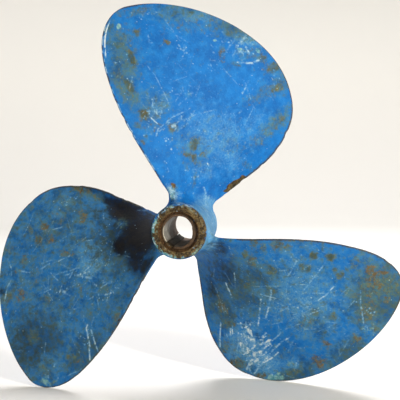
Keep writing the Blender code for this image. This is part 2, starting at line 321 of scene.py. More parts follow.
leftBlade = dict(
    name="left_blade", age=0.83, seed=23, grow=1.1, edgeGlint=0.12,
    stain=(
        (83, -48, 5.5, 3.4, 0.8, 0.6, 20), (112, -43, 3.2, 4.2, 0.85, 0.7), (124, -42, 3.2, 3.2, 0.7, 0.4),
        (116, -38, 4, 3.4, 0.9, 0.5), (107, -38, 3.4, 2.8, 0.75, 0.8), (83, -36, 3.4, 3, 0.6, 0.5),
        (94, -31, 8, 2.6, 0.7, 0.6, 70), (129, -32, 4.4, 3.4, 0.7, 0.6), (127, 5, 5, 2.6, 0.75, 0.35, 60),
        (124, 9, 3, 2.4, 0.6, 0.7), (138, -21, 5, 5, 0.7, 0.75), (119, -16, 5, 4, 0.55, 0.3),
        (150, -22, 4, 8, 0.8, 0.2, 10), (92, -14, 3.4, 2.4, 0.55, 0.5), (80, 10, 3, 5, 0.7, 0.5),
        (98, -54, 6, 4, 0.6, 0.4, 20), (90, -61, 10, 2.4, 0.9, 0.5, 86), (76, -60, 6, 2.4, 0.7, 0.3, 80),
        (74, -6, 6, 3.6, 0.65, 0.1, 40), (95, 0, 2.6, 6, 0.6, 0.1, 30), (137, -29, 3.4, 2, 0.6, 0.5, 40),
        (142, -8, 6, 6, 0.6, 0.2), (150, 2, 6, 5, 0.7, 0.1), (128, -50, 5, 6, 0.5, 0.2),
        (142, -36, 4, 6, 0.6, 0.1), (66, -22, 7, 5, 0.4, 0.2), (104, 12, 3, 5, 0.5, 0.4),
        (100, -48, 9, 7, 0.35, 0.7), (122, -26, 9, 6, 0.35, 0.6), (48, -50, 6, 5, 0.5, 0.1),
    ),
    bare=((89, -61.5, 6, 1.3, 0.7), (79, 12, 1.4, 2.4, 0.6)),
    pale=(
        (63, -36, 2, 1.8, 0.6), (75, -23, 9, 8, 0.2), (98, -54, 5, 2.4, 0.3, 0, 20), (155, 6, 1.4, 1.4, 1),
        (104, -15.5, 2.2, 1.4, 0.6), (70, -2, 3.4, 1.4, 0.5, 0, 30), (142, 3, 1, 2, 0.7),
    ),
    green=((50, -46, 6, 5, 0.45), (155, 4, 5, 3.6, 0.6), (149, 6, 5, 3, 0.3), (82, -33, 4, 3, 0.25)),
    chalkAndSheen=(
        (75, -24, 16, 14, 0.8), (100, -52, 14, 10, 0.5), (70, -50, 12, 9, 0.5), (146, 2, 16, 10, 0.5),
        (110, -5, 16, 10, 0.35),
    ),
    scratches=(
        (0.45, 0.8, (111, -25), (106, -21)), (0.4, 0.7, (108, -17), (101, -13)),
        (0.8, 1.1, (106, -17), (103, -15)), (0.35, 0.6, (101, -27), (94, -24)),
        (0.55, 0.9, (97, -20), (93, -22)), (0.6, 1, (90, -20), (86, -18)),
        (0.7, 1.1, (84, -17), (80, -15.5)), (0.4, 0.7, (89, -12), (83, -9)),
        (0.6, 0.9, (80, -13), (78, -8)), (0.75, 1.1, (76, -3.5), (71, -2)),
        (0.45, 0.7, (73, -10), (68, -7)), (0.4, 0.75, (83, -4), (88, 2)), (0.4, 0.6, (97, -5), (101, -1)),
        (0.5, 0.7, (93, 1), (99, 3)), (0.3, 0.5, (104, -8), (96, -10)),
        (0.8, 1.15, (101, 1.5), (103, 2), (109, 7), (118, 11)), (0.6, 1.1, (101, 4), (106, 9), (109, 12)),
        (0.3, 0.5, (85, 6), (95, 11)), (0.45, 1, (137, -29), (126, -27)), (0.45, 1, (143, -33), (141, -30)),
        (0.45, 1, (142, -27), (147, -25), (152, -22)), (0.4, 0.7, (128, 10.5), (132, 9.6), (143, 7.6)),
        (0.5, 0.6, (67, -51), (66, -48)), (0.3, 0.45, (104, -36), (90, -40), (80, -42)),
    ),
    chips=(
        (106, -17, 5, 16, 0.7), (84, -17, 5, 14, 0.8), (76, -4, 6, 18, 0.7), (100, -30, 30, 40, 0.45),
        (110, 4, 8, 16, 0.7), (152, 4, 8, 14, 0.8), (70, -30, 16, 26, 0.45), (98, -54, 8, 16, 0.6),
        (135, -25, 14, 22, 0.5),
    ),
    dull=((100, -46, 22, 26, 0.12), (146, -6, 18, 26, 0.3), (52, -30, 16, 22, 0.5), (116, 8, 10, 16, 0.3)),
    bundles=((96, -26, 24, 18, 66, 16, 0.4, 0.9), (80, -10, 18, 14, 60, 30, 0.5, 1)),
    # Most of this is the painted shadow of the hub and the upper blade on the root, near black, over some
    # grime.
    sootAndShade=(
        (58, -50, 12, 22, 0.5, 0, -6), (66, -30, 10, 14, 0.35), (94, -62, 4, 22, 0.6), (37, 2, 7, 9, 0.8),
        (146, -8, 20, 20, 0.42), (128, -34, 14, 22, 0.15), (36, -34, 15, 14, 1.32),
        (50, -55, 8, 15, 1.26, 0, -6), (51, -28, 7, 6, 1.2), (42, -10, 10, 8, 0.9), (62, -60, 4, 12, 0.9),
        (152, -24, 3, 5, 0.6),
    ),
)
rightBlade = dict(
    name="right_blade", age=0.76, seed=37, grow=1.1, edgeGlint=0.1,
    stain=(
        (71, 9, 5, 5, 0.85, 0.5), (54, 8, 5, 3.6, 0.8, 0.5), (61, 5, 4.2, 3.4, 0.75, 0.3),
        (78, 8, 2.6, 2.8, 0.75, 0.3), (91, 0, 3.4, 3.2, 0.85), (96, 0, 3.2, 3, 0.8),
        (114, 2, 2.6, 2.4, 0.8, 0.3), (119, 1, 3.4, 3.2, 0.85), (71, -8, 3, 5.6, 0.8, 0, -20),
        (56, -8, 6, 4.6, 0.75, 0.5), (50, -5, 4.6, 2.6, 0.8, 0.1), (126, 5, 2.6, 2.6, 0.7, 0.1),
        (130, -4, 4, 6.4, 0.6, 0.1), (97, 6, 3.2, 3.2, 1), (109, 7, 3.2, 3.2, 1), (138, 5, 4, 4, 0.85, 0.9),
        (141, 4, 2.4, 2.6, 0.9, 1), (147, 5, 3.4, 3.2, 0.8, 0.9), (147, 1, 3.2, 3.2, 0.85, 0.9),
        (141, 2, 5, 4, 0.75, 0.9), (155, -2, 3, 3, 0.85, 0.8), (145, -4, 3, 3, 0.7, 0.8),
        (147, -8, 9, 8, 0.75, 0.5), (154, 2, 9, 8, 0.75, 0.3), (143, 0, 13, 11, 0.7, 0.4),
        (100, -56, 12, 7, 0.5, 0.3), (96, -24, 10, 8, 0.45, 0.1), (114, -16, 3.6, 3.2, 0.8),
        (127, -14, 3.6, 3.2, 0.8), (136, -23, 3.4, 4.4, 0.7, 0.8), (142, -29, 5, 6.4, 0.75, 0.8),
        (151, -16, 4, 4, 0.7, 0.6), (158, -11, 4, 5, 0.75, 0.2), (83, -51, 5.6, 4, 0.8, 0.4),
        (64, -24, 8, 5, 0.6, 0.1), (79, -19, 4.2, 4, 0.75), (115, -21, 6, 5, 0.6, 0.5),
        (115, -55, 8, 6, 0.85, 0.5), (129, -48, 5, 3, 0.8, 0.7), (137, -38, 3.4, 8, 0.75, 0.1, 80),
        (66, -51, 4, 9, 0.8, 0.5, -12), (85, -38, 6, 5, 0.4, 0.1), (106, -8, 5, 4, 0.35),
        (131, 8, 10, 4, 0.6, 0.2, 80), (100, -58, 5, 6, 0.7, 0.2), (60, -38, 8, 8, 0.45, 0.1),
        (44, -14, 6, 6, 0.5, 0.1), (122, -36, 7, 5, 0.4, 0.1), (150, -9, 6, 9, 0.4, 0.1),
        (86, 12, 3, 12, 0.5, 0.3),
    ),
    bare=((112, -57, 1.6, 3.2, 0.6), (108, 7.4, 0.9, 0.9, 0.5)),
    pale=(
        (102, -47, 7, 7, 0.54), (96, -48, 4, 4, 0.45), (104, -16, 4, 8, 0.3, 0, -10),
        (118, -23, 4, 2.6, 0.35), (134, -35, 2.2, 5, 0.5, 0, -60), (70, -51, 2.6, 5, 0.3),
        (118, -45, 8, 5, 0.44),
    ),
    green=(
        (134.5, -44.5, 6, 2.6, 1.3), (137, -42, 3, 2, 0.8), (156, -12, 3, 6, 0.4), (128, -36, 6, 4, 0.35),
        (60, 4, 6, 3, 0.3),
    ),
    chalkAndSheen=(
        (100, -14, 32, 36, 0.62), (92, -44, 15, 14, 0.6), (112, -24, 12, 16, 0.5), (80, 0, 14, 14, 0.5),
        (132, -37, 12, 9, 0.6), (65, -20, 12, 12, 0.4), (102, -50, 18, 18, 0.8), (122, -44, 14, 12, 0.9),
    ),
    scratches=(
        (0.55, 1.2, (52, -39), (56, -40), (62, -41)), (0.5, 1.1, (50, -26), (54, -30), (59, -35)),
        (0.8, 0.55, (52, -50), (60, -50.4), (67, -51), (71, -52)),
        (0.65, 1.2, (80, -56), (90, -58.4), (99, -60)), (0.7, 1.35, (78, -27), (84, -32), (93, -38)),
        (0.6, 1.2, (79, -19), (81, -21), (87, -28), (91, -32)), (0.4, 0.9, (86, 2), (85, -3), (84, -7)),
        (0.4, 0.75, (86, -11), (88, -14), (92, -19)), (0.55, 1, (106, 4), (103, -1)),
        (0.4, 0.85, (103, -1), (100, -7), (99, -10)), (0.6, 1.1, (117, -4), (115, -8), (112, -11)),
        (0.4, 0.85, (112, -11), (107, -14), (104, -14)), (0.4, 0.7, (136, -2), (140, -6)),
        (0.5, 1, (140, -6), (145, -9), (149, -11)), (0.4, 0.7, (149, -11), (155, -12)),
        (0.4, 0.7, (135, -6), (133, -9)), (0.55, 0.9, (90, -41), (94, -47), (100, -51), (105, -53)),
        (0.7, 1.1, (92, -46), (98, -47), (104, -47)), (0.7, 1.2, (101, -43), (113, -48), (121, -52)),
        (0.75, 1.2, (107, -37), (112, -43), (116, -46), (119, -51)),
        (0.65, 1.2, (114, -30), (113, -34), (115, -39), (119, -44), (122, -47), (126, -50)),
        (0.5, 0.9, (107, -31), (108, -35), (109, -39)), (0.6, 1, (119, -51), (125, -51)),
        (0.4, 0.8, (118, -44), (124, -44)), (0.45, 0.8, (97, -44), (100, -49), (108, -52)),
        (0.35, 0.7, (36, -1), (41, -11)), (0.4, 0.7, (93, -24), (98, -21)),
        (0.4, 0.7, (117, -24), (123, -21)), (0.5, 0.7, (98, -14), (101, -14.6), (105, -16), (109, -20)),
        (0.35, 0.6, (72, -12), (78, -16), (84, -16)), (0.35, 0.6, (96, -20), (104, -24), (108, -22)),
        (0.3, 0.5, (128, -2), (124, -6), (119, -7)), (0.5, 0.8, (106, -50), (116, -49), (124, -47)),
        (0.4, 0.6, (118, -47), (122, -52), (125, -54)), (0.3, 0.5, (70, -2), (76, -6), (80, -6)),
        (0.45, 0.6, (104, -53), (109, -54), (114, -56)),
    ),
    chips=(
        (98, -47, 8, 36, 0.9), (112, -44, 9, 40, 0.8), (103, -16, 9, 30, 0.7), (80, -28, 8, 16, 0.6),
        (118, -47, 7, 26, 0.8), (100, -20, 34, 70, 0.5), (134, -44, 6, 12, 0.9), (146, -8, 8, 12, 0.7),
        (70, -52, 6, 16, 0.6), (60, -10, 16, 20, 0.5), (84, 4, 12, 20, 0.6),
    ),
    dull=(
        (150, -2, 22, 20, 0.5), (66, -26, 20, 18, 0.3), (70, -52, 8, 14, 0.4), (122, -50, 12, 16, 0.2),
        (152, -22, 20, 9, 0.4), (142, -40, 22, 8, 0.4), (118, -20, 14, 14, 0.16),
    ),
    bundles=(
        (110, -47, 14, 9, 143, 12, 1.8, 2.7), (99, -45, 10, 7, 200, 16, 1.6, 2.4),
        (112, -46, 15, 26, 143, 14, 1, 1.7), (97, -47, 10, 20, 196, 20, 0.9, 1.65),
        (96, -20, 34, 26, 110, 30, 0.4, 0.85),
    ),
    # The ones near the root are painted shade under the hub, deep blue, with some grime.
    sootAndShade=(
        (30, -10, 8, 8, 0.55), (44, -34, 13, 13, 0.5), (64, -22, 9, 8, 0.26), (52, -52, 5, 12, 0.5),
        (136, -56, 3, 6, 0.4),
    ),
)
bladeWear = (upperBlade, leftBlade, rightBlade)


def ovalField(places, spot):  # 0 at the middle of a leaned oval, 1 on its rim
    radius, turn, across, along, _, _, lean = (*spot, 0, 0)[:7]
    a = radians(turn + lean)
    apart = places - discPlace(radius, turn)
    u = apart @ np.array([np.cos(a), np.sin(a)]) / across
    v = apart @ np.array([-np.sin(a), np.cos(a)]) / along
    return np.hypot(u, v)


def strokeField(places, ends):  # distance to the nearest of the straight runs between the ends
    nearest = np.full(len(places), 1e3)
    for a, b in zip(ends[:-1], ends[1:]):
        run = b - a
        share = np.clip((places - a) @ run / (run @ run), 0, 1)
        nearest = np.minimum(nearest, np.hypot(*(places - a - share[:, None] * run).T))
    return nearest


def inlandFrom(radius, turn):  # millimetres in from the nearer edge of the outline
    lead, trail = edgeTurns(radius / 1000)
    return np.radians(np.minimum(turn + lead, trail - turn)) * radius


# The forward side of a blade isn't in view: it is worn at random, as thickly as the face. Each
# kind of oval is (how many, least and most half width, least and most strength).
backWear = dict(
    radii=(34, 158), lean=70, scratches=22, reach=(4, 16), bend=0.5, width=(0.3, 0.6), strength=(0.5, 1.1),
    chipGroups=9, chips=(18, 24, 0.6), grow=1.0,
    ovals=dict(
        stain=(46, 2, 7, 0.5, 0.9), bare=(3, 1.5, 3.5, 0.5, 0.8), pale=(8, 2, 6, 0.2, 0.5),
        green=(7, 2, 6, 0.3, 0.7), chalkAndSheen=(7, 9, 20, 0.4, 0.9), dull=(6, 9, 20, 0.2, 0.5),
        sootAndShade=(3, 4, 12, 0.3, 0.6),
    ),
)


def randomWear(seed):
    rng = np.random.default_rng(seed)

    def scattered(count):
        inner, outer = backWear["radii"]
        radius = inner + (outer - inner) * np.sqrt(rng.random(count))
        lead, trail = edgeTurns(radius / 1000)
        return zip(radius, -lead + (lead + trail) * rng.random(count))

    def ovals(count, low, high, least, most):
        lean = backWear["lean"]
        spots = []
        for place in scattered(count):
            size, turned = rng.uniform(low, high, 2), rng.uniform(-lean, lean)
            spots.append((*place, *size, rng.uniform(least, most), rng.random(), turned))
        return spots

    scratches = []
    for radius, turn in scattered(backWear["scratches"]):
        aim, reach = rng.uniform(0, 2 * pi), rng.uniform(*backWear["reach"])
        stops = [(radius, turn)]
        for bend in rng.uniform(-backWear["bend"], backWear["bend"], 2):
            aim += bend
            turn += np.degrees(reach * np.sin(aim) / radius)
            radius += reach * np.cos(aim)
            stops.append((radius, turn))
        scratches.append((rng.uniform(*backWear["width"]), rng.uniform(*backWear["strength"]), *stops))
    wear = {kind: ovals(*told) for kind, told in backWear["ovals"].items()}
    chips = tuple((*place, *backWear["chips"]) for place in scattered(backWear["chipGroups"]))
    return dict(wear, scratches=scratches, chips=chips, bundles=(), grow=backWear["grow"])


# How marks are laid, in millimetres: clouds bend the ovals and, less, the scratches, and gaps
# break those up. Hairlines and flecks lie on every blade, told as bundles and chips are.
marks = dict(
    bendGrain=4.5, bend=3.2, ovalFade=1.5, scratchBend=0.4, scratchMargin=0.6,
    gapGrain=2.2, gaps=(0.34, 0.56), leftInGaps=0.45, hairWidth=1.0, hairShare=(0.04, 0.14), hairReach=18,
    fleckSize=(0.4, 1.3), fleckStrength=(0.3, 1.05), fleckFade=1.4,
    hairlines=((95, -25, 90, 90, 0, 180, 0.2, 0.6),),
    flecks=((95, -24, 90, 170, 0.4), (60, -24, 60, 30, 0.4)),
)


# Wear fields: each oval counts ovalFade less its distance in radii, held to 0..1, times its
# strength, and the strongest at a place wins. A scratch counts 1 less the distance in widths.
def wearFields(places, wear, seed):
    flat = np.column_stack([places, np.zeros(len(places))])
    swirl = np.column_stack([cloud(flat, marks["bendGrain"], seed + shift, 3) - 0.5 for shift in (100, 110)])
    bent = places + marks["bend"] * swirl
    fields = {}
    for kind in backWear["ovals"]:
        grow = wear["grow"] if kind == "stain" else 1.0
        fade = marks["ovalFade"]
        nearness = [spot[4] * np.clip(fade - ovalField(bent, spot) / grow, 0, 1) for spot in wear[kind]]
        fields[kind] = np.max(nearness, axis=0)
        if kind == "stain":
            hues = np.array([(*spot, 0)[5] for spot in wear[kind]])
            weights = np.square(nearness)
            fields["rust"] = hues @ weights / (np.sum(weights, axis=0) + 1e-6)
    rng = np.random.default_rng(seed)
    strokes = [
        (width + marks["scratchMargin"], strength, [discPlace(*stop) for stop in stops])
        for width, strength, *stops in wear["scratches"]
    ]
    for radius, turn, spread, count, aim, fan, low, high in wear["bundles"] + marks["hairlines"]:
        starts = discPlace(radius, turn) + rng.normal(0, spread / 2, (count, 2))
        aims = np.radians(rng.uniform(aim - fan, aim + fan, count))
        reach = rng.uniform(*marks["hairShare"], (count, 1)) * spread**0.5 * marks["hairReach"]
        runs = reach * np.column_stack([np.cos(aims), np.sin(aims)])
        for a, run in zip(starts, runs):
            strokes.append((marks["hairWidth"], rng.uniform(low, high), [a, a + run]))
    wavering = places + marks["scratchBend"] * swirl
    for width, strength, ends in strokes:
        near = strength * np.clip(1 - strokeField(wavering, ends) / width, 0, 1)
        fields["pale"] = np.maximum(fields["pale"], near)
    unbroken = smooth(*marks["gaps"], cloud(flat, marks["gapGrain"], seed + 120, 2))
    fields["pale"] = fields["pale"] * (marks["leftInGaps"] + (1 - marks["leftInGaps"]) * unbroken)
    for radius, turn, spread, count, size in wear["chips"] + marks["flecks"]:
        centres = discPlace(radius, turn) + rng.normal(0, spread / 2, (count, 2))
        sizes = size * rng.uniform(*marks["fleckSize"], count)
        apart = np.hypot(places[:, :1] - centres[:, 0], places[:, 1:] - centres[:, 1])
        strengths = rng.uniform(*marks["fleckStrength"], count)
        near = strengths * np.clip(marks["fleckFade"] - apart / sizes, 0, 1)
        fields["pale"] = np.maximum(fields["pale"], near.max(axis=1))
    return fields


# Round the hub the marks follow the place, whichever piece is there: a pale blue painted sheen on
# the right of the barrel, where the light falls on it, and a white scuff over its top near the aft
# end. Radii and y are in millimetres and aims in degrees. Each spread is the cosine of the angle off the
# aim, from none to all.
hubMarks = dict(
    sheenAim=12, sheenSpread=(0.3, 0.8), sheenRadius=(33, 25), sheenY=(-59.6, -57.5, -4, 0), sheenPale=0.8,
    scuffAim=80, scuffSpread=(0.86, 0.97), scuffRadius=(18.9, 19.5, 22.0, 23.5), scuffY=(-48, -53),
)


def nearHub(points, fields):
    x, y, z = (1000 * points).T
    radius = np.hypot(x, z)
    aim = np.arctan2(z, x)
    patch, fleck = cloud(points * 1000, 3.0, 81, 3), cloud(points * 1000, 1.5, 82, 2)
    onRight = smooth(*hubMarks["sheenSpread"], np.cos(aim - radians(hubMarks["sheenAim"])))
    sideSheen = smooth(*hubMarks["sheenRadius"], radius) * onRight * band(hubMarks["sheenY"], y)
    onTop = smooth(*hubMarks["scuffSpread"], np.cos(aim - radians(hubMarks["scuffAim"])))
    scuff = band(hubMarks["scuffRadius"], radius) * onTop * smooth(*hubMarks["scuffY"], y)
    sideSheenPale = hubMarks["sheenPale"] * sideSheen * smooth(0.35, 0.8, patch)
    fields["chalkAndSheen"] = np.maximum(fields["chalkAndSheen"], sideSheen * (0.75 + 0.8 * patch))
    fields["pale"] = np.maximum(fields["pale"], sideSheenPale + scuff * smooth(0.3, 0.55, fleck))


# Relief of the blades as (cloud's grain in millimetres, depth in metres), and how the film ages.
# The dark worn edge, partly painted shade along the edge's thickness, reaches edgeBand millimetres
# in, but not at the root, inside rootRadius. The rubbed trailing edge, in millimetres from the
# outline, has a strip far out and dots all along.
bladeSkin = dict(
    swell=(22, 0.00016), grit=(2.2, 0.00005), pits=(2.6, 0.00016), nicks=(6, 0.0005), scratchDepth=0.00010,
    ageGrain=40, ageRange=0.3, edgeBand=10, rootRadius=(44, 30), sootAndShadeHides=0.9,
    strip=(1.9, 2.5, 3.0, 3.8), stripRadius=(133, 137), stripGaps=(0.4, 0.52), stripStrength=1.2,
    dots=(0.2, 0.6, 1.2, 1.9), dotGaps=(0.45, 0.56), glintRadius=(160, 154), glintTurn=-20,
)


def makeBlade(copy, wear):
    seed = wear["seed"]
    points = bladeSurface(copy)
    radius = 1000 * np.hypot(points[..., 0], points[..., 2])
    bearing = np.degrees(np.arctan2(points[..., 2], points[..., 0])) - wheel["generatorAngle"] - 120 * copy
    turn = (bearing + 180) % 360 - 180
    places = discPlace(radius, turn).reshape(-1, 2)
    onFace = np.broadcast_to(sectionLoop()[1] < 0, radius.shape).ravel()
    face = wearFields(places, wear, seed)
    back = wearFields(places, randomWear(seed + 7), seed + 50)
    fields = {kind: np.where(onFace, face[kind], back[kind]) for kind in face}
    inland = np.minimum(inlandFrom(radius, turn), 1000 * wheel["tipRadius"] - radius).ravel()
    nearRoot = smooth(*bladeSkin["rootRadius"], radius).ravel()
    fields["inland"] = np.clip(inland / bladeSkin["edgeBand"] + nearRoot, 0, 1)
    grain = 1000 * points.reshape(-1, 3)
    ageing = cloud(grain, bladeSkin["ageGrain"], seed + 5, 2) - 0.5
    fields["age"] = wear["age"] + bladeSkin["ageRange"] * ageing + fields.pop("dull")
    swell, grit, pits = (
        bladeSkin[kind][1] * cloud(grain, bladeSkin[kind][0], seed + shift, 2)
        for kind, shift in (("swell", 0), ("grit", 3), ("pits", 9))
    )
    fall = swell + grit + pits * np.clip(fields["stain"], 0, 1)
    fall += bladeSkin["scratchDepth"] * np.clip(fields["pale"], 0, 1)
    alongRadius = radius[:, :1] * np.array([1, 0, 0])
    nickGrain, nickDepth = bladeSkin["nicks"]
    notches = [smooth(0.55, 0.9, cloud(alongRadius, nickGrain, seed + shift, 2)) for shift in (31, 33)]
    nicks = [nickDepth * notch[:, None] for notch in notches]
    points = bladeSurface(copy, *nicks, -fall.reshape(radius.shape))
    piece = gridMesh(wear["name"], points, poles=[points[0].mean(axis=0), points[-1].mean(axis=0)])
    piece.data.flip_normals()  # its section runs round the other way than the hub's rings
    broken = smooth(*bladeSkin["stripGaps"], cloud(grain, 3.0, 91, 2))
    strip = band(bladeSkin["strip"], inland) * smooth(*bladeSkin["stripRadius"], radius.ravel())
    strip = bladeSkin["stripStrength"] * strip * (0.15 + 0.95 * broken)
    dots = band(bladeSkin["dots"], inland) * smooth(*bladeSkin["dotGaps"], cloud(grain, 3.2, 92, 2))
    lit = (turn.ravel() > bladeSkin["glintTurn"]) * onFace
    lit = lit * smooth(*bladeSkin["glintRadius"], radius.ravel())
    glint = wear["edgeGlint"] * (strip + dots) * lit
    fields["pale"] = np.maximum(fields["pale"], glint)
    fields["inland"] = np.maximum(fields["inland"], glint)
    fields["pale"] = fields["pale"] * (1 - bladeSkin["sootAndShadeHides"] * smooth(0.7, 1.1, fields["sootAndShade"]))
    nearHub(points.reshape(-1, 3), fields)
    paintOn(piece, fields)
    return piece


# the hub

# Profile of the hub as (radius, y), once round: forward face, its round, barrel, aft round,
# aft face, counterbore and bore. Straight runs are shared out evenly, rounds are quarter arcs.
def hubProfile():
    def run(start, end, step):
        count = max(2, int(np.hypot(end[0] - start[0], end[1] - start[1]) / step))
        return np.linspace(start, end, count, endpoint=False)

    def quarter(radius, y, size, towards):
        a = np.linspace(0, pi / 2, hub["roundSteps"])
        return np.column_stack([radius - size + size * np.sin(a), y + towards * size * (1 - np.cos(a))])

    floor = hub["counterboreDepth"] - hub["length"]
    forwardRound = quarter(hub["forwardRadius"], 0.0, hub["forwardRound"], -1)
    aftRound = quarter(hub["aftRadius"], -hub["length"], hub["aftRound"], 1)[::-1]
    mouth, recess = (hub["counterboreRadius"], -hub["length"]), (hub["counterboreRadius"], floor)
    boreAft, boreFront = (hub["boreRadius"], floor), (hub["boreRadius"], 0.0)
    return np.concatenate([
        run(boreFront, forwardRound[0], hub["endStep"]),
        forwardRound,
        run(forwardRound[-1], aftRound[0], hub["barrelStep"])[1:],
        aftRound,
        run(aftRound[-1], mouth, hub["endStep"])[1:],
        run(mouth, recess, hub["endStep"]),
        run(recess, boreAft, hub["endStep"]),
        run(boreAft, boreFront, hub["boreStep"]),
    ])


# How the hub is worn. dip and lump are (cloud's grain in millimetres, depth in metres), grime is
# the height of the dirt in the key slot, in metres, and grimeReach how far in it gets there. The
# rest are limits in millimetres, each depth from its own end of the hub and each radius from the
# shaft axis, and the aims of the left, right and lower side.
hubSkin = dict(
    dip=(9, 0.00012), lump=(3.0, 0.0006), boreMargin=0.0002, grime=0.0030, grimeReach=4.0,
    lumpDepth=(2.6, 0.0), lumpRadius=(14.0, 15.0), endDepth=(1.8, 0.3), foreDepth=(0.4, 0.1),
    ringRadius=(14.5, 15.0), bareRadius=(19.4, 18.0), rimDepth=(3.2, 1.4), rimRadius=(17.0, 18.2),
    slotRadius=(13.9, 13.5), recessRadius=(14.9, 14.5), recessDepth=3, innerRadius=14.6,
    aims=(190, 0, -100),
)


# Hub surface: the profile turned about Y, sunk along its own normal by clouds, and pushed out
# to the key slot's floor where the angle is within half the key's width.
def makeHub():
    profile = hubProfile()
    run = np.roll(profile, -1, axis=0) - np.roll(profile, 1, axis=0)
    normal = np.column_stack([-run[:, 1], run[:, 0]]) / np.hypot(*run.T)[:, None]
    bearing = np.linspace(0, 360, hub["turns"], endpoint=False)
    a = np.radians(bearing)
    radius = np.broadcast_to(profile[:, :1], (len(profile), len(a)))
    y = np.broadcast_to(profile[:, 1:], radius.shape)
    grain = 1000 * aroundShaft(radius, y, a).reshape(-1, 3)
    fromAft = 1000 * (y + hub["length"])
    lumpy = smooth(*hubSkin["lumpDepth"], fromAft) * smooth(*hubSkin["lumpRadius"], 1000 * radius)
    (dipGrain, dip), (lumpGrain, lump) = hubSkin["dip"], hubSkin["lump"]
    lumps = (cloud(grain, lumpGrain, 61, 3) ** 1.5).reshape(radius.shape)
    sink = dip * cloud(grain, dipGrain, 60, 2).reshape(radius.shape) + lump * lumpy * lumps
    sink = sink * (radius > hub["boreRadius"] + hubSkin["boreMargin"])
    radius, y = radius - sink * normal[:, :1], y - sink * normal[:, 1:]
    slot = np.degrees(np.arcsin(hub["keyWidth"] / 2 / hub["boreRadius"]))
    fromKey = np.abs((bearing - hub["keyAngle"] + 180) % 360 - 180)
    inside = 1000 * (y + hub["length"] - hub["counterboreDepth"])
    packed = hub["keyFloor"] - hubSkin["grime"] * smooth(0.0, hubSkin["grimeReach"], inside)
    radius = np.where((fromKey < slot) & (radius < hub["keyFloor"]), packed, radius)
    points = aroundShaft(radius, y, a)
    piece = gridMesh("propeller_hub", points, closedRows=True)
    across = 1000 * radius.ravel()
    fromAft = fromAft.ravel()
    aim = np.broadcast_to(a, radius.shape).ravel()
    inSlot = np.broadcast_to(fromKey < slot, radius.shape).ravel()
    left, right, below = (np.cos(aim - radians(side)) for side in hubSkin["aims"])
    blotch, patch, coarse = (cloud(grain, size, seed, 3) for size, seed in ((1.6, 75), (2.6, 71), (9, 73)))
    atFore = smooth(*hubSkin["foreDepth"], -1000 * y.ravel())
    atEnd = np.maximum(smooth(*hubSkin["endDepth"], fromAft), atFore)
    ring = atEnd * smooth(*hubSkin["ringRadius"], across)
    rim = smooth(*hubSkin["rimDepth"], fromAft) * smooth(*hubSkin["rimRadius"], across + 1.4 * (patch - 0.5))
    slotFill = smooth(*hubSkin["slotRadius"], across) * inSlot
    bareEnd = atEnd * smooth(*hubSkin["bareRadius"], across + 2.0 * (patch - 0.5))
    # Bare and rusty bronze on the aft rim grow towards the right, partly as painted warm glints where the
    # light falls.
    bareRimAndGlints = 0.9 * rim * smooth(0.45, 0.6, patch + 0.12 * right) * (0.7 + 0.4 * right)
    paleRim = rim * (0.5 + 0.5 * left) * smooth(0.48, 0.64, blotch)
    greenRim = rim * (0.34 + 0.1 * left + 0.12 * below) * smooth(0.36, 0.6, patch)
    fields = dict(
        bare=np.clip(bareEnd + slotFill + (across < hubSkin["innerRadius"]), 0, 1) + bareRimAndGlints,
        stain=0.8 * rim * smooth(0.4, 0.6, coarse) + 0.3 * coarse,
        rust=0.3 * coarse + 0.5 * rim * smooth(0.2, 0.8, right),
        pale=paleRim + 0.45 * ring * smooth(0.62, 0.76, blotch),
        green=greenRim + ring * (0.28 + 0.16 * left) * smooth(0.5, 0.64, patch),
        chalkAndSheen=0.3 * coarse * (1 - atEnd),
        # Dark blotches on the ring are dirt; the key slot is painted near black, for the grime packed in it
        # and as its painted shade.
        sootAndShade=np.clip(0.98 * ring * smooth(0.5, 0.32, patch) + 1.6 * slotFill, 0, 1.4),
        # The counterbore is painted dark brown: bronze, with painted shade in the recess.
        recess=smooth(*hubSkin["recessRadius"], across) * (fromAft < hubSkin["recessDepth"]),
        inland=np.ones(len(across)),
        age=0.5 + 0.3 * coarse,
    )
    nearHub(points.reshape(-1, 3), fields)
    paintOn(piece, fields)
    return piece


# the bush in the bore

# Lengths are in metres. Dirt has built up on the aft rim by up to crust, thickest at crustAngle,
# and its cloud's grain and circle are in millimetres.
bush = dict(
    innerRadius=0.0111, outerRadius=0.0127, length=0.0575, chamfer=0.0002,
    turns=140, step=0.00032, endSteps=8, ringDepth=0.00008, ringPitch=0.0012,
    crust=0.0016, crustAngle=-8, crustReach=(-0.0525, -0.0565), crustGrain=2.6, crustCircle=11,
    glintAngle=197,
)


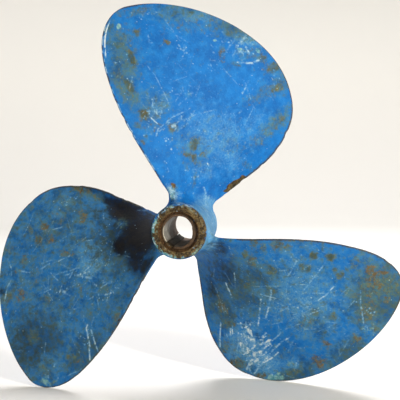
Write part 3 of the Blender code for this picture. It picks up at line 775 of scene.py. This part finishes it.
# Bush surface: the outline of its wall, once round as (stand off the middle radius, y), carried
# about Y from one side of the key slot to the other. A pole closes each end. Turning rings are a
# cosine along y.
def makeBush():
    length, chamfer = bush["length"], bush["chamfer"]
    middle = (bush["innerRadius"] + bush["outerRadius"]) / 2
    halfWall = (bush["outerRadius"] - bush["innerRadius"]) / 2
    wall = np.linspace(-chamfer, chamfer - length, int(length / bush["step"]))
    end = np.linspace(halfWall - chamfer, chamfer - halfWall, bush["endSteps"])
    stand = np.concatenate([halfWall + 0 * wall, end, 0 * wall - halfWall, -end])
    y = np.concatenate([wall, 0 * end - length, wall[::-1], 0 * end])
    halfSlot = np.arcsin(hub["keyWidth"] / 2 / middle)
    a = radians(hub["keyAngle"]) + np.linspace(2 * pi - halfSlot, halfSlot, bush["turns"])[:, None]
    rings = bush["ringDepth"] * (1 + np.cos(2 * pi * y / bush["ringPitch"])) / 2 * (stand == -halfWall)
    fromCrust = np.cos(a - radians(bush["crustAngle"]))
    place = bush["crustCircle"] * np.column_stack([np.cos(a), np.sin(a), 0 * a])
    rough = 0.55 + 0.7 * cloud(place, bush["crustGrain"], 95, 2)[:, None]
    crust = bush["crust"] * np.clip(fromCrust, 0, 1) ** 2 * rough
    crust = crust * smooth(*bush["crustReach"], y) * np.clip(-stand / halfWall, 0, 1)
    radius = middle + stand + rings - crust
    points = aroundShaft(radius, y, a)
    piece = gridMesh("turned_bush", points, poles=[points[0].mean(axis=0), points[-1].mean(axis=0)])
    fromAft = 1000 * (y + length)
    endFace = smooth(0.5, 0.3, fromAft)
    lit = smooth(0.55, 0.9, np.cos(a - radians(bush["glintAngle"]))) * smooth(12.0, 11.5, 1000 * radius)
    paintOn(piece, dict(
        # low is painted shade: darker brown towards the bottom of the bore.
        low=smooth(-0.2, -0.9, np.sin(a)) + 0 * radius,
        rim=np.maximum(endFace, smooth(0.5, 0.9, fromCrust) * smooth(5, 3, fromAft)),
        glint=endFace * lit,
        depth=np.clip(fromAft / 1000 / length, 0, 1) + 0 * radius,
    ))
    return piece


# Finishes. Each layer covers the ones before it where its source, plus a share of a grain of
# noise, passes from low to high, and a share below 0 covers where the grain is low. Its colour
# wanders between two by the finer grains. A grain is (size in mm, octaves, roughness of the
# noise), and a layer (source, grain, share of grain, low, high, two colours, opacity, roughness,
# metallic, rise in mm).

# Marine enamel brushed on cast bronze: a satin blue film, chalked and scraped by years of water
# and handling, with olive and rusty growth, verdigris and brown bronze where it has come off,
# and with painted sheen where light falls on it and painted shade where it is kept off.
enamel = dict(
    name="brushed_marine_enamel_on_cast_bronze",
    grains=dict(
        broad=(48, 3, 0.5), mottle=(13, 4, 0.55), dapple=(6.5, 4, 0.6), patch=(4.2, 5, 0.62),
        small=(2.4, 4, 0.6), fine=(1.3, 3, 0.6),
    ),
    ground=("#055CA4", "#076CB8"), groundRoughness=0.62, specular=0.16,
    attributes=("bare", "stain", "rust", "pale", "green", "chalkAndSheen", "inland", "age", "sootAndShade", "recess"),
    layers=(
        ("whole", "dapple", 1.0, 0.48, 0.72, "#1C7CC4", "#2C86C2", 0.38, 0.6, 0, 0.0),
        ("whole", "patch", 1.0, 0.48, 0.75, "#0A4A94", "#10589C", 0.42, 0.6, 0, 0.0),
        ("whole", "fine", 1.0, 0.5, 0.72, "#3A8AC4", "#1C74BC", 0.5, 0.6, 0, 0.0),
        ("whole", "small", 1.0, 0.58, 0.76, "#3A6C80", "#56684E", 0.5, 0.65, 0, 0.02),
        ("age", "broad", 0.8, 0.9, 1.65, "#0F4C88", "#145684", 0.8, 0.6, 0, 0.0),
        ("age", "mottle", 1.5, 1.35, 2.2, "#1F5A86", "#3C6C80", 0.65, 0.65, 0, 0.0),
        ("age", "dapple", 1.9, 1.65, 2.4, "#446474", "#5E685C", 0.55, 0.65, 0, 0.0),
        ("age", "patch", 1.9, 1.55, 2.15, "#3A7A90", "#587C70", 0.5, 0.65, 0, 0.0),
        ("age", "dapple", -2.2, -0.25, 0.12, "#1C4468", "#2C5058", 0.45, 0.65, 0, -0.01),
        ("age", "small", 2.2, 1.85, 2.6, "#3E7AA0", "#6490A0", 0.45, 0.65, 0, 0.0),
        ("age", "small", 1.5, 1.3, 1.95, "#2070B0", "#3C80B0", 0.4, 0.62, 0, 0.0),
        ("age", "fine", 2.0, 1.8, 2.2, "#143C70", "#1C4C5C", 0.35, 0.65, 0, 0.0),
        ("age", "mottle", -1.4, 0.08, 0.5, "#0C3468", "#143C54", 0.45, 0.68, 0, -0.01),
        # Chalky paint and painted sheen: a pale soft glare laid over the film.
        ("chalkAndSheen", "dapple", 1.1, 0.8, 1.65, "#3C8AC0", "#6CA4C0", 0.55, 0.65, 0, 0.01),
        ("chalkAndSheen", "fine", 1.6, 1.3, 2.0, "#7CB0CC", "#8CB4BC", 0.15, 0.65, 0, 0.01),
        ("age", "patch", 2.6, 2.14, 2.75, "#2C4840", "#48543C", 0.6, 0.7, 0, -0.02),
        # Painted shade, deep blue, laid with grime: the shade at the blades' roots under the hub.
        ("sootAndShade", "patch", 1.0, 0.5, 1.4, "#0A1C38", "#12222C", 0.9, 0.7, 0, 0.02),
        ("stain", "dapple", 1.2, 0.75, 1.7, "#2C6A94", "#43787E", 0.65, 0.68, 0, 0.02),
        ("stain", "small", 1.7, 1.1, 1.95, "#34493F", "#62643C", 0.85, 0.72, 0, 0.10),
        ("rusty", "small", 1.7, 1.1, 1.8, "#4C4232", "#7C5C3A", 0.75, 0.75, 0, 0.08),
        ("core", "fine", 1.2, 1.15, 1.7, "#20302A", "#3A361E", 0.5, 0.8, 0, -0.05),
        ("bare", "patch", 0.9, 0.85, 1.1, "#2C2218", "#6A5632", 1.0, 0.55, 0.3, -0.08),
        ("bare", "fine", 1.4, 1.5, 2.15, "#5A5440", "#8A8060", 0.5, 0.5, 0.3, 0.05),
        ("green", "patch", 1.2, 0.85, 1.4, "#46868C", "#92BCB0", 0.75, 0.7, 0, 0.03),
        # Dark brown in the counterbore: bronze with painted shade in the recess.
        ("recess", "fine", 0.6, 0.7, 1.0, "#2C2012", "#5C4228", 0.95, 0.7, 0.2, 0.0),
        # Painted shadow, near black, laid with soot: the shadow of the hub and the upper blade on the left
        # blade's root, and the key slot's shade.
        ("sootAndShade", "patch", 0.9, 0.9, 1.75, "#100F0E", "#201C18", 0.92, 0.7, 0, 0.02),
        ("pale", "fine", 0.9, 0.6, 1.3, "#5C98C4", "#86AEC4", 0.65, 0.6, 0, -0.02),
        ("pale", "fine", 0.9, 1.15, 1.7, "#9CBCCC", "#D0D8D2", 0.85, 0.6, 0, -0.04),
        ("speck", "fine", 0.9, 0.95, 1.35, "#78A8CC", "#B4CCD0", 0.6, 0.6, 0, -0.03),
        # Dark edge band: worn bare edge, and painted shade along the edge's thickness.
        ("edge", "fine", 0.25, 0.94, 1.06, "#2C2C22", "#4C4632", 0.85, 0.65, 0.2, -0.02),
    ),
    speckSpacing=6.0, speckReach=0.15, relief=dict(mottle=0.18, patch=0.20, fine=0.11),
)

# Mild steel, bored and turned: dull grey with fine rings, and rust and old grease in the corners.
steel = dict(
    name="bored_mild_steel",
    grains=dict(broad=(20, 3, 0.5), mottle=(6, 4, 0.6), patch=(2.2, 4, 0.6), fine=(0.6, 3, 0.6)),
    ground=("#8A8880", "#6E6C66"), groundRoughness=0.45, specular=0.5,
    attributes=("rim", "glint", "depth", "low"),
    layers=(
        # Painted shade: darker brown towards the bottom of the bore.
        ("low", "patch", 1.0, 0.8, 1.4, "#3A3024", "#5A4C38", 0.85, 0.65, 0.2, 0.0),
        ("depth", "broad", 1.4, 0.9, 1.6, "#5C5650", "#48423A", 0.7, 0.6, 0.4, 0.0),
        ("depth", "mottle", 1.6, 1.15, 1.6, "#5E4A34", "#7A5634", 0.7, 0.75, 0.1, 0.02),
        ("rim", "fine", 0.6, 0.7, 0.95, "#2E2214", "#5E442A", 0.95, 0.7, 0.2, 0.0),
        ("glint", "patch", 0.8, 1.0, 1.3, "#A8A494", "#CCC8B8", 0.9, 0.4, 0.6, 0.0),
    ),
    relief=dict(patch=0.03, fine=0.03),
)


# Sources are the piece's attributes, whole for the grain alone, and on enamel specks, the edge,
# rust in a stain and a stain's core. Roughness, metallic and height, in mm, go through the same
# covers as the colour.
def layeredFinish(spec):
    material = bpy.data.materials.new(spec["name"])
    material.use_nodes = True
    tree = material.node_tree
    shader = tree.nodes["Principled BSDF"]

    def node(kind, inputs, output=0, **settings):  # an input is a value or another node's output
        item = tree.nodes.new("ShaderNode" + kind)
        for name, value in settings.items():
            setattr(item, name, value)
        for socket, source in inputs.items():
            if isinstance(source, bpy.types.NodeSocket):
                tree.links.new(source, item.inputs[socket])
            else:
                item.inputs[socket].default_value = source
        return item.outputs[output]

    added, colours = dict(operation="MULTIPLY_ADD"), dict(output=2, data_type="RGBA")
    place = node("TexCoord", {}, "Object")
    grains = {}
    for name, (size, octaves, rough) in spec["grains"].items():
        sockets = {"Vector": place, "Scale": 1000 / size, "Detail": octaves, "Roughness": rough}
        grains[name] = node("TexNoise", sockets)
    sources = {"whole": 0.0}
    for name in spec["attributes"]:
        sources[name] = node("Attribute", {}, "Fac", attribute_name=name)
    if "inland" in sources:
        apart = node("TexVoronoi", {"Vector": place, "Scale": 1000 / spec["speckSpacing"]})
        sources["speck"] = node("Math", {0: apart, 1: -1 / spec["speckReach"], 2: 1.0}, **added)
        sources["edge"] = node("Math", {0: sources["inland"], 1: -1.0, 2: 1.0}, **added)
        for name, other in (("rusty", "rust"), ("core", "stain")):
            sources[name] = node("Math", {0: sources["stain"], 1: sources[other]}, operation="MULTIPLY")
    both = node("Math", {0: grains["patch"], 1: 1.0, 2: grains["fine"]}, **added)
    tone = node("MapRange", {"Value": both, "From Min": 0.8, "From Max": 1.2})
    wide = node("MapRange", {"Value": grains["mottle"], "From Min": 0.36, "From Max": 0.64})
    first, second = spec["ground"]
    colour = node("Mix", {"Factor": wide, 6: hexColour(first), 7: hexColour(second)}, **colours)
    roughness, metallic, height = spec["groundRoughness"], 0.0, 0.0
    for name, rise in spec["relief"].items():
        height = node("Math", {0: grains[name], 1: rise, 2: height}, **added)
    for source, grain, share, low, high, first, second, opacity, rough, metal, rise in spec["layers"]:
        level = node("Math", {0: grains[grain], 1: share, 2: sources[source]}, **added)
        limits = {"Value": level, "From Min": low, "From Max": high, "To Max": opacity}
        cover = node("MapRange", limits, interpolation_type="SMOOTHSTEP")
        tint = node("Mix", {"Factor": tone, 6: hexColour(first), 7: hexColour(second)}, **colours)
        colour = node("Mix", {"Factor": cover, 6: colour, 7: tint}, **colours)
        roughness = node("Mix", {0: cover, 2: roughness, 3: rough})
        metallic = node("Mix", {0: cover, 2: metallic, 3: metal})
        height = node("Math", {0: cover, 1: rise, 2: height}, **added)
    shader.inputs["Specular IOR Level"].default_value = spec["specular"]
    normal = node("Bump", {"Height": height, "Distance": 0.001, "Strength": 1.0})
    finish = {"Base Color": colour, "Roughness": roughness, "Metallic": metallic, "Normal": normal}
    for socket, source in finish.items():
        tree.links.new(source, shader.inputs[socket])
    return material


# everything is built and handed to the frame here

enamelFinish = layeredFinish(enamel)
steelFinish = layeredFinish(steel)
casting = [makeBlade(copy, wear) for copy, wear in enumerate(bladeWear)] + [makeHub()]
for piece in casting:
    piece.data.materials.append(enamelFinish)
    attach(piece, "root")
    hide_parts("propeller_casting")
    print("built", piece.name, len(piece.data.polygons), "faces")
sleeve = makeBush()
sleeve.data.materials.append(steelFinish)
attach(sleeve, "root")
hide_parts("bore_bush")
print("built", sleeve.name, len(sleeve.data.polygons), "faces")


# the stage: a round cove of pale card, open at the top, with the lights inside it

cove = dict(
    floorRings=(0.3, 0.8), floorRadius=1.25, curve=0.35, curveSteps=13, height=0.85, turns=96,
    colour="#F0EEE8", roughness=0.9, sky="#E9EEF4", skyStrength=0.12,
)


# Cove: a flat floor, a quarter circle and a wall, turned about the upright axis.
def makeCove():
    floor = cadBox[0][2]
    a = np.linspace(0, pi / 2, cove["curveSteps"])
    radius = np.concatenate([cove["floorRings"], cove["floorRadius"] + cove["curve"] * np.sin(a)])
    radius = np.append(radius, radius[-1])[:, None]
    rise = np.concatenate([0 * np.array(cove["floorRings"]), cove["curve"] * (1 - np.cos(a))])
    rise = np.append(rise, cove["height"])[:, None] + floor
    bearing = np.linspace(0, 2 * pi, cove["turns"], endpoint=False)
    points = np.stack([radius * np.cos(bearing), radius * np.sin(bearing), rise + 0 * bearing], axis=-1)
    piece = gridMesh("pale_cove", points, poles=[(0, 0, floor)])
    card = bpy.data.materials.new("matt_card")
    card.use_nodes = True
    shader = card.node_tree.nodes["Principled BSDF"]
    shader.inputs["Base Color"].default_value = hexColour(cove["colour"])
    shader.inputs["Roughness"].default_value = cove["roughness"]
    piece.data.materials.append(card)


makeCove()
world = bpy.data.worlds.new("pale_sky")
world.use_nodes = True
sky = world.node_tree.nodes["Background"]
sky.inputs["Color"].default_value = hexColour(cove["sky"])
sky.inputs["Strength"].default_value = cove["skyStrength"]
bpy.context.scene.world = world

# lamps: where each stands, what it aims at, its size in metres, its power in watts and its colour
lamps = dict(
    key=dict(at=(0.69, -0.67, 0.28), aim=(0.0, -0.03, 0.0), size=0.08, power=9.1, colour="#FFF7EC"),
    overhead=dict(at=(0.1, 0.6, 1.2), aim=(0.0, -0.35, -0.12), size=0.8, power=22, colour="#FBFAFF"),
    fill=dict(at=(-0.75, -0.95, 0.5), aim=(0.0, -0.03, 0.0), size=0.9, power=0.4, colour="#EAF1FF"),
    backdrop=dict(at=(0.0, 0.75, 0.55), aim=(0.0, 1.6, 0.1), size=0.8, power=2.5, colour="#FFFFFF"),
)
for name, lamp in lamps.items():
    light = bpy.data.lights.new(name, "AREA")
    light.size, light.energy = lamp["size"], lamp["power"]
    light.color = hexColour(lamp["colour"])[:3]
    holder = bpy.data.objects.new(name, light)
    holder.location = lamp["at"]
    aim = Vector(lamp["aim"]) - Vector(lamp["at"])
    holder.rotation_euler = aim.to_track_quat("-Z", "Y").to_euler()
    holder.visible_camera = False
    bpy.context.scene.collection.objects.link(holder)

# the camera stands where the photograph was taken from
shot = dict(
    at=(0.09089, -0.65003, 0.06230), turn=(84.168, 0.396, 6.566),
    lens=76.085, sensor=36, shift=(-0.025, 0.075),
)
lensData = bpy.data.cameras.new("camera")
lensData.lens, lensData.sensor_width = shot["lens"], shot["sensor"]
lensData.shift_x, lensData.shift_y = shot["shift"]
camera = bpy.data.objects.new("camera", lensData)
camera.location = shot["at"]
camera.rotation_euler = [radians(turn) for turn in shot["turn"]]
bpy.context.scene.collection.objects.link(camera)
bpy.context.scene.camera = camera
bpy.context.scene.view_settings.view_transform = "Standard"
print("stage, lamps and camera set")
